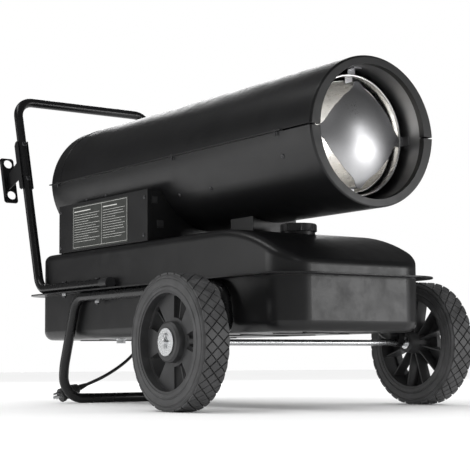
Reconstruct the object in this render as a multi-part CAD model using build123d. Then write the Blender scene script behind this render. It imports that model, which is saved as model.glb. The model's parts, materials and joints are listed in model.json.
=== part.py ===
from build123d import *
import os
from math import asin, atan2, cos, degrees, pi, radians, sin, sqrt, tan

# A forced-air kerosene heater on wheels.  Millimetres.  The hot-air outlet
# looks along +X, +Z is up, and the origin is on the floor under the middle
# of the machine.  Places along X are written from the wheel axle and moved
# by AXLE_X when a piece is saved.

os.makedirs("parts", exist_ok=True)

# ---------------------------------------------------------------- driving sizes
AXLE_X = 367.8            # the axle, ahead of the origin
WHEEL_R = 127.0           # ten-inch solid tyres
TYRE_WIDTH = 58.0
WHEEL_FACE_Y = 330.0      # outer side face of each tyre
AXLE_R = 6.0
RUNNING_GAP = 0.05        # radial clearance of everything that turns
PART_GAP = 0.2            # gap between neighbours that aren't fixed together
SHEET = 1.2               # barrel, tank and bracket sheet

BARREL_Z = 517.0          # height of the seam between the two shells
BARREL_FRONT = 206.0
BARREL_BACK = -788.0
SHELL_R = 151.5           # each shell is a little less than half a circle
SHELL_DROP = 8.0          # its centre lies this far past the seam
MOUTH_R = 127.6           # clear radius of the air outlet
LIP_BACK = 194.0          # the lip's inner collar ends here
SEAM_FRONT = 125.0        # the outward seam flanges stop here
SEAM_Y = 158.5

TANK_SEAM_Z = 250.4
TANK_TOP = 346.0
TANK_BOTTOM = 145.0
TANK_BACK, TANK_FRONT = -816.0, 160.0
TANK_HALF_WIDTH = 176.5
TANK_CORNER_R = 60.0
FLANGE_BACK, FLANGE_FRONT = -847.0, 192.0
FLANGE_HALF_WIDTH = 208.5
FLANGE_CORNER_R = 89.0
FLANGE_SHEET = 1.5
CAP_X = -24.0             # filler and cap on the centre line

TUBE_R = 11.0             # handle and wheel frame
TUBE_WALL = 2.0
RAIL_Y = 190.0            # the tubes' centre planes
HANDLE_Z = TANK_SEAM_Z + FLANGE_SHEET + TUBE_R
FRAME_Z = TANK_SEAM_Z - FLANGE_SHEET - TUBE_R
HANDLE_FRONT = -446.0
HANDLE_BEND_X = -770.0
HANDLE_TOP = (-902.6, 737.0)
BOLT_R = 3.0

BOX_BACK, BOX_FRONT = -716.0, -325.0
BOX_HALF_WIDTH = 167.0
BOX_SHEET = 1.6
PANEL_FACE = BOX_HALF_WIDTH + BOX_SHEET
PANEL_TOP = 456.0

CORD_R = 3.75             # three-core mains lead
CORD_Y, CORD_Z = 100.0, 378.0


# ---------------------------------------------------------------- small helpers
def block(x0, x1, y0, y1, z0, z1):
    """A box between two corners."""
    return Pos((x0 + x1) / 2, (y0 + y1) / 2, (z0 + z1) / 2) * Box(x1 - x0, y1 - y0, z1 - z0)


def rod_x(radius, x0, x1, y=0.0, z=0.0):
    return Pos((x0 + x1) / 2, y, z) * Rot(0, 90, 0) * Cylinder(radius, x1 - x0)


def rod_y(radius, y0, y1, x=0.0, z=0.0):
    return Pos(x, (y0 + y1) / 2, z) * Rot(90, 0, 0) * Cylinder(radius, abs(y1 - y0))


def rod_z(radius, z0, z1, x=0.0, y=0.0):
    return Pos(x, y, (z0 + z1) / 2) * Cylinder(radius, z1 - z0)


def turned_x(profile, y=0.0, z=0.0):
    """A solid turned about a line along X; the profile is (x, radius) points."""
    face = Plane.XZ * make_face(Polyline(*profile, close=True))
    return Pos(0, y, z) * revolve(face, Axis.X)


def turned_y(profile, x=0.0, z=0.0):
    """A solid turned about a line along Y; the profile is (y, radius) points."""
    face = Plane.YZ * make_face(Polyline(*profile, close=True))
    return Pos(x, 0, z) * revolve(face, Axis.Y)


def turned_z(profile, x=0.0, y=0.0):
    """A solid turned about a line along Z; the profile is (radius, z) points."""
    face = Plane.XZ * make_face(Polyline(*profile, close=True))
    return Pos(x, y, 0) * revolve(face, Axis.Z)


def other_side(shape):
    return mirror(shape, about=Plane.XZ)


def bent_tube(points, radii, outer=TUBE_R, wall=TUBE_WALL):
    """A round tube along straight runs joined by tangent arcs."""
    path = FilletPolyline(*points, radius=radii)
    end = Plane(origin=path @ 0, z_dir=path % 0)
    tube = sweep(end * Circle(outer), path=path)
    if wall:
        tube -= sweep(end * Circle(outer - wall), path=path)
    return tube


def group(solids):
    """Identical separate pieces in one node."""
    found = []
    for solid in solids:
        found += solid.solids()
    return Compound(found)


def save(name, shape):
    export_step(Pos(AXLE_X, 0, 0) * shape, f"parts/{name}.step")


# ---------------------------------------------------------------- barrel
def shell_round(radius, x0, x1, side):
    """The cylinder that one shell is cut from; side is 1 above, -1 below."""
    return rod_x(radius, x0, x1, z=BARREL_Z - side * SHELL_DROP)


def under_barrel(x0, x1, gap=PART_GAP):
    """What a piece below the barrel is cut back by."""
    return shell_round(SHELL_R + gap, x0, x1, -1)


SEAM_SCREW_X = (-750.0, -249.0, 106.0)
SHELL_SCREWS = ((111.0, 470.4), (-149.0, 439.8), (-265.0, 439.1), (-548.0, 466.3), (-636.0, 466.4))
WIRE_SLOT = (-470.0, -400.0, 45.0)
NOSE_ROLL = 4.0


def seam_screws(gap=0.0):
    found = []
    for x in SEAM_SCREW_X:
        for side in (-1, 1):
            y = side * 154.9
            found.append(rod_z(1.8 + gap, BARREL_Z - 9, BARREL_Z + SHEET, x, y))
            if not gap:
                found[-1] += rod_z(3.1, BARREL_Z + SHEET, BARREL_Z + SHEET + 2, x, y)
    return found


def shell_screws(gap=0.0):
    """Self-tapping screws that look at the shell's centre line."""
    found = []
    centre_z = BARREL_Z + SHELL_DROP
    for x, z in SHELL_SCREWS:
        for side in (-1, 1):
            tilt = degrees(asin((z - centre_z) / SHELL_R))
            turn = Rot(tilt, 0, 0) if side > 0 else Rot(-tilt, 0, 0)
            screw = rod_y(1.8 + gap, side * (SHELL_R - 9), side * SHELL_R)
            if not gap:
                screw += rod_y(3.6, side * SHELL_R, side * (SHELL_R + 2))
            found.append(Pos(x, 0, centre_z) * turn * screw)
    return found


def nosed_round(inset, side):
    """The barrel's round with its front edge rolled over."""
    body = shell_round(SHELL_R - inset, BARREL_BACK, BARREL_FRONT - inset, side)
    front_rim = body.faces().sort_by(Axis.X)[-1].edges()
    return fillet(front_rim, NOSE_ROLL - inset)


def shell(side):
    """Upper (side 1) or lower (side -1) half of the barrel with its rolled lip."""
    body = nosed_round(0.0, side) - nosed_round(SHEET, side)
    body -= rod_x(MOUTH_R, LIP_BACK, BARREL_FRONT, z=BARREL_Z)
    collar = rod_x(MOUTH_R + SHEET, LIP_BACK, BARREL_FRONT - SHEET / 2, z=BARREL_Z)
    collar -= rod_x(MOUTH_R, LIP_BACK, BARREL_FRONT, z=BARREL_Z)
    body += collar
    for hand in (-1, 1):
        y0, y1 = sorted((hand * (SHELL_R - 1.4), hand * SEAM_Y))
        z0, z1 = sorted((BARREL_Z, BARREL_Z + side * SHEET))
        body += block(BARREL_BACK, SEAM_FRONT, y0, y1, z0, z1)
    far = 2 * SHELL_R
    z0, z1 = sorted((BARREL_Z, BARREL_Z + side * far))
    body &= block(BARREL_BACK, BARREL_FRONT, -far, far, z0, z1)
    seam_gap = 1.7
    body -= block(SEAM_FRONT, BARREL_FRONT, -far, far, BARREL_Z - seam_gap, BARREL_Z + seam_gap)
    for screw in seam_screws(gap=0.1):
        body -= screw
    if side < 0:
        x0, x1, half = WIRE_SLOT
        body -= block(x0, x1, -half, half, BARREL_Z - 160, BARREL_Z - 100)
        for screw in shell_screws(gap=0.1):
            body -= screw
    return body


def nose_liner():
    """Inner sleeve behind the lip, turned out to the shell at its back."""
    inner, outer = MOUTH_R + SHEET + PART_GAP, MOUTH_R + 2 * SHEET
    profile = [(96, inner), (LIP_BACK - 0.5, inner), (LIP_BACK - 0.5, outer),
               (98, outer), (98, SHELL_R - SHELL_DROP - 2.4), (96, SHELL_R - SHELL_DROP - 2.4)]
    return turned_x(profile, z=BARREL_Z)


# ---------------------------------------------------------------- burner
CHAMBER_R = 115.2
CHAMBER_FRONT = 150.0
CHAMBER_BACK = -330.0
LINER_FRONT = 132.0


def chamber():
    """Combustion chamber: a tube with a coned head and a rolled front rim."""
    wall = 1.2
    profile = [(CHAMBER_FRONT, CHAMBER_R), (CHAMBER_BACK, CHAMBER_R), (CHAMBER_BACK - 40, 47),
               (CHAMBER_BACK - 46, 47), (CHAMBER_BACK - 46, 45), (CHAMBER_BACK - 38, 45),
               (CHAMBER_BACK + 1, CHAMBER_R - wall), (CHAMBER_FRONT, CHAMBER_R - wall)]
    body = turned_x(profile, z=BARREL_Z)
    bead = Pos(CHAMBER_FRONT, 0, BARREL_Z) * Rot(0, 90, 0) * Torus(CHAMBER_R, 2.4)
    return body + bead


def chamber_liner():
    """Bright inner sleeve that stands off the chamber wall."""
    profile = [(LINER_FRONT, 107), (LINER_FRONT, 108), (CHAMBER_BACK + 10, 108), (CHAMBER_BACK + 10, 107)]
    return turned_x(profile, z=BARREL_Z)


DOME_R = 252.0
EAR_R = 103.0
EAR_X = 160.0


def deflector():
    """Domed four-eared plate that turns the flame outwards."""
    quarter = [(EAR_R, 0), (EAR_R - 2.5, 6), (91, 13), (81, 24), (69.5, 40), (55, 55)]
    first = quarter + [(b, a) for a, b in reversed(quarter[:-1])]
    outline = []
    for turn in range(4):
        for a, b in first[:-1]:
            for _ in range(turn):
                a, b = -b, a
            outline.append((a, b))
    star = extrude(Plane.YZ * make_face(Spline(*outline, periodic=True)), 60)
    apex = EAR_X + DOME_R - sqrt(DOME_R**2 - EAR_R**2)
    skin = Pos(apex - DOME_R, 0, 0) * (Sphere(DOME_R) - Sphere(DOME_R - 1.4))
    return Pos(0, 0, BARREL_Z) * (skin & (Pos(130, 0, 0) * star))


def straps():
    """Clips from the chamber's inside to the ears, and brackets from its outside to the nose liner."""
    half, thick = 9.0, 1.5
    ear_clip = block(LINER_FRONT + 3, EAR_X - 1.2, -half, half, EAR_R - 3.2, EAR_R - 1.7)
    ear_clip += block(LINER_FRONT + 3, LINER_FRONT + 3 + thick, -half, half, EAR_R - 3.2, CHAMBER_R - 1.7)
    low, high = CHAMBER_R + 0.1, MOUTH_R + SHEET - 0.3
    bracket = block(126, 145, -half, half, low, low + thick)
    bracket += block(145 - thick, 145, -half, half, low, high)
    bracket += block(145 - thick, 164, -half, half, high - thick, high)
    found = []
    for quarter in range(4):
        turn = Pos(0, 0, BARREL_Z) * Rot(quarter * 90, 0, 0)
        found += [turn * ear_clip, turn * bracket]
    return found


def burner_head():
    """Swirl plate: a disc with slanted air slots round the nozzle hole."""
    plate = rod_x(44.8, -371, -368)
    plate -= rod_x(11.0, -372, -367)
    for turn in range(10):
        slot = Pos(-369.5, 0, 0) * Rot(turn * 36, 0, 0) * Pos(0, 0, 28) * Rot(0, 0, 35) * Box(8, 4, 22)
        plate -= slot
    return Pos(0, 0, BARREL_Z) * plate


def nozzle():
    body = Pos(-392, 0, 0) * Rot(0, 90, 0) * extrude(RegularPolygon(9.5, 6), 14)
    body += turned_x([(-378, 0), (-378, 8), (-370, 8), (-366, 4), (-366, 0)])
    return Pos(0, 0, BARREL_Z) * body


def igniter():
    """Two ceramic-sleeved electrodes."""
    rods = [rod_x(3.2, -410, -372, y=-y, z=22) for y in (6, -6)]
    return [Pos(0, 0, BARREL_Z) * rod for rod in rods]


def photocell():
    return rod_x(6.0, -405, -380, y=24, z=BARREL_Z - 24) + rod_x(8.0, -411, -405, y=24, z=BARREL_Z - 24)


# ---------------------------------------------------------------- motor, fan and pump
MOTOR_R = 56.0
MOTOR_BACK, MOTOR_FRONT = -700.0, -572.0
SHAFT_R = 6.0
SHAFT_BACK, SHAFT_FRONT = -738.0, -512.0
PUMP_R = 38.0
PUMP_BORE = 26.0
PUMP_BACK = -744.0


def motor():
    body = rod_x(MOTOR_R, MOTOR_BACK + 14, MOTOR_FRONT - 14)
    for x0, x1 in ((MOTOR_BACK, MOTOR_BACK + 14), (MOTOR_FRONT - 14, MOTOR_FRONT)):
        body += rod_x(MOTOR_R - 5, x0, x1)
    for turn in range(16):
        rib = block(MOTOR_BACK + 18, MOTOR_FRONT - 18, -1.5, 1.5, MOTOR_R - 1, MOTOR_R + 4)
        if abs(turn - 8) > 2:
            body += Rot(turn * 22.5, 0, 0) * rib
    body -= rod_x(SHAFT_R + RUNNING_GAP, MOTOR_BACK - 1, MOTOR_FRONT + 1)
    return Pos(0, 0, BARREL_Z) * body


def motor_bracket():
    """Folded cradle between the lower shell and the motor."""
    x0, x1 = MOTOR_BACK + 30, MOTOR_FRONT - 30
    post = block(x0, x1, -42, 42, BARREL_Z - 150, BARREL_Z - 30)
    post -= block(x0 + SHEET, x1 - SHEET, -60, 60, BARREL_Z - 120, BARREL_Z - 20)
    post &= shell_round(SHELL_R - SHEET, x0 - 5, x1 + 5, -1)
    return post - rod_x(MOTOR_R, x0 - 5, x1 + 5, z=BARREL_Z)


def shaft():
    return rod_x(SHAFT_R, SHAFT_BACK, SHAFT_FRONT, z=BARREL_Z)


def fan():
    """Five twisted blades on a hub."""
    hub = rod_x(28, -546, -518)
    blades = []
    for turn in range(5):
        blade = Pos(0, 0, 80) * Rot(0, 0, 58) * Box(2.2, 66, 112)
        blades.append(Pos(-532, 0, 0) * Rot(turn * 72, 0, 0) * blade)
    wheel = hub
    for blade in blades:
        wheel += blade
    wheel &= rod_x(132, -600, -480)
    wheel -= rod_x(SHAFT_R, -600, -480)
    return Pos(0, 0, BARREL_Z) * wheel


def pump_body():
    """Vane air pump on the back of the motor."""
    body = rod_x(PUMP_R, PUMP_BACK + 6, MOTOR_BACK)
    body -= rod_x(PUMP_BORE, PUMP_BACK, -712)
    body -= rod_x(SHAFT_R + RUNNING_GAP, -713, MOTOR_BACK + 1)
    return Pos(0, 0, BARREL_Z) * body


def pump_rotor():
    rotor = rod_x(21, -737.0, -713.0) - rod_x(SHAFT_R, -740, -710)
    for turn in range(4):
        rotor -= Rot(turn * 90 + 45, 0, 0) * block(-740, -710, -1.5, 1.5, 11, 30)
    return Pos(0, 0, BARREL_Z) * rotor


def pump_vanes():
    vane = block(-737.0, -713.0, -1.5, 1.5, 12, PUMP_BORE - 0.5)
    return [Pos(0, 0, BARREL_Z) * Rot(turn * 90 + 45, 0, 0) * vane for turn in range(4)]


def pump_cover():
    """End cover with the intake filter and the gauge port."""
    cover = rod_x(PUMP_R, PUMP_BACK, PUMP_BACK + 6)
    cover += rod_x(24, PUMP_BACK - 7, PUMP_BACK, z=-10)
    cover += rod_x(4, PUMP_BACK - 12, PUMP_BACK, z=25)
    return Pos(0, 0, BARREL_Z) * cover


def pressure_gauge():
    case = rod_x(19, PUMP_BACK - 26, PUMP_BACK - 12, z=25)
    return Pos(0, 0, BARREL_Z) * case


def air_line():
    """Thin pipe from the pump past the fan's tips to the nozzle block."""
    y, z = 143.0, BARREL_Z - 12
    points = [(-722, PUMP_R + 0.1, z), (-722, y, z), (-440, y, z), (-440, 3, z + 14), (-392.1, 3, z + 14)]
    return bent_tube(points, [14, 14, 20], outer=3.0, wall=1.0)


def fuel_line():
    """From the tank's filter up through the box to the nozzle block."""
    z = BARREL_Z - 6.5
    points = [(-430, -20, 262), (-430, -20, z), (-412, -6, z), (-392.1, -6, z)]
    return bent_tube(points, [9, 12], outer=3.0, wall=1.0)


def fuel_filter():
    return rod_z(11, 175, 235, -430, -20) + rod_z(5, 235, 262, -430, -20)


# ---------------------------------------------------------------- back end
GUARD_X = -782.0


def rear_guard():
    """Round grille: rings on eight spokes, welded into a band inside the shells."""
    guard = rod_x(139.0, GUARD_X - 1.5, GUARD_X + 1.5) - rod_x(134.5, GUARD_X - 5, GUARD_X + 5)
    for radius in (110, 86, 62, 38):
        guard += rod_x(radius + 1.5, GUARD_X - 1.5, GUARD_X + 1.5) - rod_x(radius - 1.5, GUARD_X - 5, GUARD_X + 5)
    for turn in range(8):
        guard += Rot(turn * 45, 0, 0) * block(GUARD_X - 1.5, GUARD_X + 1.5, -1.6, 1.6, 14, 136)
    guard += rod_x(16, GUARD_X - 1.5, GUARD_X + 1.5)
    guard += turned_x([(-785, 138.6), (-785, 140.8), (-773, 140.8), (-773, 138.6)])
    return Pos(0, 0, BARREL_Z) * guard


# ---------------------------------------------------------------- tank
DECK_R = 380.0            # the front of the deck falls away in one long curve
CURVE_X = -60.0           # where that curve leaves the level top


def rounded_prism(x0, x1, half_width, corner, z0, z1):
    outline = Pos((x0 + x1) / 2, 0, z0) * RectangleRounded(x1 - x0, 2 * half_width, corner)
    return extrude(outline, z1 - z0)


def tank_half(upper, inset=0.0):
    """Outer body of one stamping, or its hollow when inset by the sheet."""
    x0, x1 = TANK_BACK + inset, TANK_FRONT - inset
    half, corner = TANK_HALF_WIDTH - inset, TANK_CORNER_R - inset
    if not upper:
        body = rounded_prism(x0, x1, half, corner, TANK_BOTTOM + inset, TANK_SEAM_Z)
        low = body.faces().sort_by(Axis.Z)[0].edges()
        return fillet(low, 20 - inset)
    top, bend = TANK_TOP - inset, DECK_R - inset
    body = rounded_prism(x0, x1, half, corner, TANK_SEAM_Z, top)
    above = block(CURVE_X, x1 + 60, -250, 250, top - 150, top + 60)
    body -= above - rod_y(bend, -260, 260, CURVE_X, top - bend)
    rim = [edge for edge in body.edges() if edge.center().Z > 262 and touches_side(edge, x0, x1, half)]
    return fillet(rim, 17 - inset)


def touches_side(edge, x0, x1, half):
    """True for the edges that run round the top of the tank."""
    mid = edge @ 0.5
    on_side = abs(abs(mid.Y) - half) < 20 or abs(mid.X - x0) < 20 or abs(mid.X - x1) < 20
    return on_side and abs((edge % 0.5).Z) < 0.9


def tank_flange(z0, z1):
    return rounded_prism(FLANGE_BACK, FLANGE_FRONT, FLANGE_HALF_WIDTH, FLANGE_CORNER_R, z0, z1)


def frame_bolt_holes(part):
    for x in BOLT_X:
        for side in (-1, 1):
            part -= rod_z(BOLT_R + 0.3, 200, 300, x, side * RAIL_Y)
    return part


def tank_upper():
    body = tank_half(True) + tank_flange(TANK_SEAM_Z, TANK_SEAM_Z + FLANGE_SHEET)
    body += rod_z(33, 325, TANK_TOP + 0.5, CAP_X)
    hollow = tank_half(True, SHEET) + block(TANK_BACK + 70, TANK_FRONT - 70, -100, 100, 249, 252)
    body -= hollow
    body -= rod_z(FILLER_R, 300, 360, CAP_X)
    body -= rod_z(5.2, 330, 360, -430, -20)
    return frame_bolt_holes(body)


def tank_lower():
    body = tank_half(False) + tank_flange(TANK_SEAM_Z - FLANGE_SHEET, TANK_SEAM_Z)
    for x in (-700, -420, -140, 60):
        for angle in (28, -28):
            rib = Pos(x, 0, TANK_BOTTOM) * Rot(0, 0, angle) * Box(10, 210, 4)
            body += rib
    body -= tank_half(False, SHEET) + block(TANK_BACK + 70, TANK_FRONT - 70, -100, 100, 249, 252)
    body -= rod_z(7.2, 130, 160, DRAIN_X, DRAIN_Y)
    return frame_bolt_holes(body)


FILLER_R = 27.0
DRAIN_X, DRAIN_Y = -548.0, -100.0
BOLT_X = (-649.0, -497.0, -90.0)


def filler_neck():
    low, high = TANK_TOP - 14, TANK_TOP + 8
    return turned_z([(24.6, low), (FILLER_R, low), (FILLER_R, high), (24.6, high)], CAP_X)


def strainer():
    """Mesh basket that hangs in the neck."""
    rim = TANK_TOP + 7
    profile = [(19.5, 262), (19.5, rim), (24.5, rim), (24.5, rim - 1.5), (21.0, rim - 1.5),
               (21.0, 260), (0, 260), (0, 262)]
    return turned_z(profile, CAP_X)


def fuel_cap():
    """Bayonet cap with a knurled skirt and a finger bar."""
    low = TANK_TOP + 1.0
    cap = turned_z([(0, low + 17), (33, low + 17), (37, low + 14), (37, low), (28, low), (28, low + 8), (0, low + 8)],
                   CAP_X)
    for turn in range(24):
        groove = Pos(CAP_X, 0, low + 7) * Rot(0, 0, turn * 15) * Pos(37.6, 0, 0) * Box(2.4, 3.2, 20)
        cap -= groove
    return cap


def drain_washer():
    return rod_z(13, 142.8, TANK_BOTTOM, DRAIN_X, DRAIN_Y) - rod_z(7.2, 140, 150, DRAIN_X, DRAIN_Y)


def drain_plug():
    head = Pos(DRAIN_X, DRAIN_Y, 134.5) * extrude(RegularPolygon(10, 6), 8.3)
    return head + rod_z(7.0, 142.8, 156, DRAIN_X, DRAIN_Y)


def front_bracket():
    """Open sheet box between the tank's top and the barrel."""
    x0, x1, half = -180.0, -102.0, 55.0
    body = block(x0, x1, -half, half, TANK_TOP + 0.1, 400)
    body -= block(x0 + SHEET, x1 - SHEET, -half + SHEET, half - SHEET, 300, 420)
    for side in (-1, 1):
        y0, y1 = sorted((side * half, side * (half + 16)))
        body += block(x0, x1, y0, y1, TANK_TOP + 0.1, TANK_TOP + 0.1 + SHEET)
    return body - under_barrel(x0 - 5, x1 + 5, 0.1)


# ---------------------------------------------------------------- control box
KNOCKOUTS = ((-150.0, 434.0, 7.0), (-136.0, 383.0, 8.0))
SWITCH_X, SWITCH_Z = -450.0, 402.0
ROCKER_Y = PANEL_FACE - 0.6
KNOB_X, KNOB_Z = -560.0, 402.0
LAMP_X = -500.0
COVER_SCREWS = ((-335.0, 439.0), (-338.0, 359.0), (-707.0, 441.0), (-707.0, 358.0))


def control_housing():
    """Floor, front and back walls and the shelves beside the barrel, from one sheet."""
    t = BOX_SHEET
    low = TANK_TOP + 0.1
    body = block(BOX_BACK, BOX_FRONT, -BOX_HALF_WIDTH, BOX_HALF_WIDTH, low, low + t)
    for x0, x1 in ((BOX_BACK, BOX_BACK + t), (BOX_FRONT - t, BOX_FRONT)):
        body += block(x0, x1, -BOX_HALF_WIDTH, BOX_HALF_WIDTH, low, PANEL_TOP)
    for side in (-1, 1):
        y0, y1 = sorted((side * 110, side * BOX_HALF_WIDTH))
        body += block(BOX_BACK, BOX_FRONT, y0, y1, PANEL_TOP - t, PANEL_TOP)
        y0, y1 = sorted((side * (BOX_HALF_WIDTH - t), side * BOX_HALF_WIDTH))
        for x0, x1 in ((BOX_BACK, BOX_BACK + 18), (BOX_FRONT - 22, BOX_FRONT)):
            body += block(x0, x1, y0, y1, low, PANEL_TOP)
    body -= under_barrel(BOX_BACK - 5, BOX_FRONT + 5, 0.1)
    for y, z, half in KNOCKOUTS:
        body -= block(BOX_FRONT - 5, BOX_FRONT + 5, y - half, y + half, z - half, z + half)
    body -= rod_z(5.2, 340, 360, -430, -20)
    body -= rod_x(7.0, BOX_BACK - 5, BOX_BACK + 5, y=CORD_Y, z=CORD_Z)
    for screw in cover_screws(gap=0.1):
        body -= screw
    return body


def side_panel(side):
    """Cover plate with a lip folded round the box's front edge."""
    t = BOX_SHEET
    y0, y1 = sorted((side * BOX_HALF_WIDTH, side * (BOX_HALF_WIDTH + t)))
    low = TANK_TOP + 0.6
    body = block(BOX_BACK, BOX_FRONT + t, y0, y1, low, PANEL_TOP)
    y0, y1 = sorted((side * (BOX_HALF_WIDTH - 9), side * (BOX_HALF_WIDTH + t)))
    body += block(BOX_FRONT, BOX_FRONT + t, y0, y1, low, PANEL_TOP)
    body -= under_barrel(BOX_BACK - 5, BOX_FRONT + 5)
    for screw in cover_screws(gap=0.1):
        body -= screw
    return body


def control_panel():
    body = side_panel(1)
    y0, y1 = PANEL_FACE - 20, PANEL_FACE + 20
    body -= block(SWITCH_X - 12.6, SWITCH_X + 12.6, y0, y1, SWITCH_Z - 17.2, SWITCH_Z + 17.2)
    body -= rod_y(4.2, y0, y1, KNOB_X, KNOB_Z)
    return body - rod_y(4.2, y0, y1, LAMP_X, SWITCH_Z)


def cover_screws(gap=0.0):
    found = []
    for x, z in COVER_SCREWS:
        for side in (-1, 1):
            screw = rod_y(1.8 + gap, side * (PANEL_FACE - 8), side * PANEL_FACE, x, z)
            if not gap:
                screw += rod_y(3.8, side * PANEL_FACE, side * (PANEL_FACE + 2.2), x, z)
            found.append(screw)
    return found


def knockout_plugs():
    found = []
    for y, z, half in KNOCKOUTS:
        reach = half - 0.1
        found.append(block(BOX_FRONT - BOX_SHEET, BOX_FRONT + 1.0, y - reach, y + reach, z - reach, z + reach))
    return found


INFO_PLATE = (-650.0, -403.0, 350.0, 449.0)


def info_plate():
    """Plain rating plate on the right-hand cover."""
    x0, x1, z0, z1 = INFO_PLATE
    return block(x0, x1, -PANEL_FACE - 0.6, -PANEL_FACE, z0, z1)


def circuit_board():
    board = block(-620, -500, 20, 105, 354, 355.6)
    for x0, x1, y0, y1, height in ((-610, -580, 30, 55, 12), (-560, -540, 30, 50, 9), (-570, -520, 70, 95, 7)):
        board += block(x0, x1, y0, y1, 355.6, 355.6 + height)
    for x in (-614, -506):
        for y in (26, 99):
            board += rod_z(3, TANK_TOP + 0.1 + BOX_SHEET, 354, x, y)
    return board


def ignition_transformer():
    body = block(-700, -630, -150, -92, TANK_TOP + 0.1 + BOX_SHEET, 388)
    return fillet(body.edges().filter_by(Axis.Z), 4)


def switch_frame():
    """Bezel and walls that the rocker sits in, with the contact block behind."""
    face = PANEL_FACE
    frame = block(SWITCH_X - 12.5, SWITCH_X + 12.5, face - 9, face, SWITCH_Z - 17.1, SWITCH_Z + 17.1)
    frame += block(SWITCH_X - 15, SWITCH_X + 15, face, face + 2.4, SWITCH_Z - 20, SWITCH_Z + 20)
    frame -= block(SWITCH_X - 10.2, SWITCH_X + 10.2, face - 10, face + 5, SWITCH_Z - 14.6, SWITCH_Z + 14.6)
    frame += block(SWITCH_X - 12.5, SWITCH_X + 12.5, face - 29, face - 9, SWITCH_Z - 17.1, SWITCH_Z + 17.1)
    return frame - rod_x(1.5 + RUNNING_GAP, SWITCH_X - 11.5, SWITCH_X + 11.5, ROCKER_Y, SWITCH_Z)


def rocker():
    """Power switch paddle, resting with its lower half pressed in."""
    paddle = block(-9.7, 9.7, -3, 4.5, -13.3, 13.3)
    paddle += rod_x(1.5, -11.3, 11.3)
    return Pos(SWITCH_X, ROCKER_Y, SWITCH_Z) * Rot(ROCKER_REST, 0, 0) * paddle


ROCKER_REST = 9.0


def knob():
    """Thermostat knob with a grip bar, on its spindle."""
    near = PANEL_FACE + 2.8
    body = rod_y(18, near, near + 5.6)
    body += rod_y(14.5, near + 5.6, near + 15.6)
    body += block(-2.5, 2.5, near + 5.6, near + 17.6, -14, 14)
    body += rod_y(3.0, PANEL_FACE - 26, near + 1)
    return Pos(KNOB_X, 0, KNOB_Z) * body


def thermostat():
    middle, near = PANEL_FACE - 8, PANEL_FACE - 3
    body = rod_y(12, PANEL_FACE - 28, middle, KNOB_X, KNOB_Z) + rod_y(6, middle, near, KNOB_X, KNOB_Z)
    return body - rod_y(3.0 + RUNNING_GAP, PANEL_FACE - 26.5, near + 1, KNOB_X, KNOB_Z)


def status_lamp():
    lens = rod_y(4.0, PANEL_FACE - 10, PANEL_FACE, LAMP_X, SWITCH_Z)
    return lens + rod_y(5.2, PANEL_FACE, PANEL_FACE + 2.2, LAMP_X, SWITCH_Z)


# ---------------------------------------------------------------- mains lead
RELIEF_END = BOX_BACK - 30
CORD_ROUTE = [
    (RELIEF_END, CORD_Y, CORD_Z), (-782, CORD_Y, CORD_Z), (-816, 102, 373), (-848, 107, 354),
    (-868, 113, 319), (-875, 118, 278), (-875, 121, 236), (-867, 121, 195), (-850, 116, 160),
    (-821, 104, 137), (-784, 84, 126), (-749, 58, 117), (-721, 27, 103), (-702, -7, 86),
    (-690, -43, 69), (-684, -79.5, 53), (-684, -113, 41),
]
PLUG_TAIL = CORD_ROUTE[-1]
PLUG_LENGTH = 72.0


def cord_radii(points):
    """Each arc as large as its two runs allow."""
    radii = []
    for before, here, after in zip(points, points[1:], points[2:]):
        one, two = Vector(*here) - Vector(*before), Vector(*after) - Vector(*here)
        half_turn = radians(one.get_angle(two)) / 2
        radii.append(0.45 * min(one.length, two.length) / tan(half_turn))
    return radii


def strain_relief():
    """Tapered bush; its flange bears on the box's back wall."""
    wall = BOX_BACK
    profile = [(wall + 4, 0), (wall + 4, 6.8), (wall, 6.8), (wall, 9.5), (wall - 3, 9.5),
               (wall - 4, 7.6), (RELIEF_END, 5.2), (RELIEF_END, 0)]
    return turned_x(profile, CORD_Y, CORD_Z)


def power_cord():
    return bent_tube(CORD_ROUTE, cord_radii(CORD_ROUTE), outer=CORD_R, wall=0)


def plug_frame():
    """A plane at the plug's tail, square to the lead, whose normal points to the nose."""
    tail = Vector(*PLUG_TAIL)
    return Plane(origin=tail, x_dir=(1, 0, 0), z_dir=tail - Vector(*CORD_ROUTE[-2]))


def plug_body():
    """Moulded plug: neck bush, collar and ribbed grip."""
    length = PLUG_LENGTH
    profile = [(0, 0), (4.8, 0), (7.4, 9), (7.4, 14), (5.6, 17), (6.4, 21), (11, 26), (14.0, 34),
               (14.8, length - 10), (16.0, length - 8), (16.0, length), (0, length)]
    body = revolve(Plane.XZ * make_face(Polyline(*profile, close=True)), Axis.Z)
    return plug_frame() * body


def plug_blades():
    length = PLUG_LENGTH
    blades = [Pos(side * 6.35, 0, length + 8) * Box(1.5, 6.3, 16) for side in (-1, 1)]
    blades.append(Pos(0, 8.5, length + 8.5) * Cylinder(2.4, 17))
    return [plug_frame() * blade for blade in blades]


# ---------------------------------------------------------------- frame and wheels
FOOT_Z = WHEEL_R + AXLE_R + TUBE_R
FOOT_END_Y = 249.0


def wheel_frame():
    """One bent tube: feet on the axle, rails under the tank and a back stand."""
    side = [(0, FOOT_END_Y, FOOT_Z), (0, RAIL_Y, FOOT_Z), (-12, RAIL_Y, FRAME_Z),
            (-592, RAIL_Y, FRAME_Z), (-648, RAIL_Y, 85), (-656, RAIL_Y, TUBE_R)]
    back = [(x, -y, z) for x, y, z in reversed(side)]
    radii = [28, 40, 45, 80, 52]
    tube = bent_tube(side + back, radii + radii[::-1])
    for x in BOLT_X[1:]:
        for hand in (-1, 1):
            tube -= rod_z(BOLT_R + 0.3, 200, 280, x, hand * RAIL_Y)
    return tube


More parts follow.
